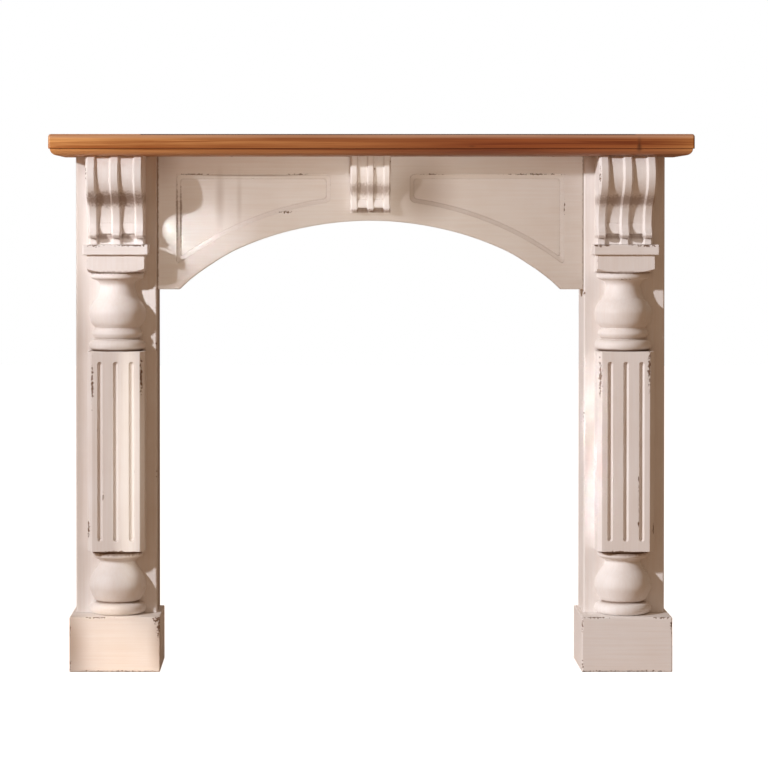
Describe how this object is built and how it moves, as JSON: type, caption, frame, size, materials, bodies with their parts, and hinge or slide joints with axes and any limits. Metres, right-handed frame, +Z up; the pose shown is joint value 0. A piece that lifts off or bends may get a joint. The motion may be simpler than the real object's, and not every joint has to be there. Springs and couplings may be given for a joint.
{
  "type": "fireplace mantelpiece",
  "caption": "Painted timber fire surround with an arched panelled frieze, turned and fluted half columns, ribbed corbels and a moulded pine shelf.",
  "frame": {"origin": "on the floor, under the middle of the whole piece's box", "axes": "+X along the shelf to the right, +Y from the room to the wall, +Z up"},
  "size_m": [1.372, 0.233, 1.1512],
  "materials": {
    "painted_timber": "brushed chalky off-white paint, rubbed through on the edges",
    "oiled_pine": "oiled pine with a worn top arris"
  },
  "bodies": {
    "root": {"shelf": "oiled_pine", "frieze": "painted_timber", "pilaster_face_left": "painted_timber", "pilaster_face_right": "painted_timber", "pilaster_inner_return_left": "painted_timber", "pilaster_inner_return_right": "painted_timber", "pilaster_outer_return_left": "painted_timber", "pilaster_outer_return_right": "painted_timber", "plinth_left": "painted_timber", "plinth_right": "painted_timber", "half_column_left": "painted_timber", "half_column_right": "painted_timber", "impost_left": "painted_timber", "impost_right": "painted_timber", "corbel_left": "painted_timber", "corbel_right": "painted_timber", "corbel_centre": "painted_timber"}
  },
  "joints": []
}
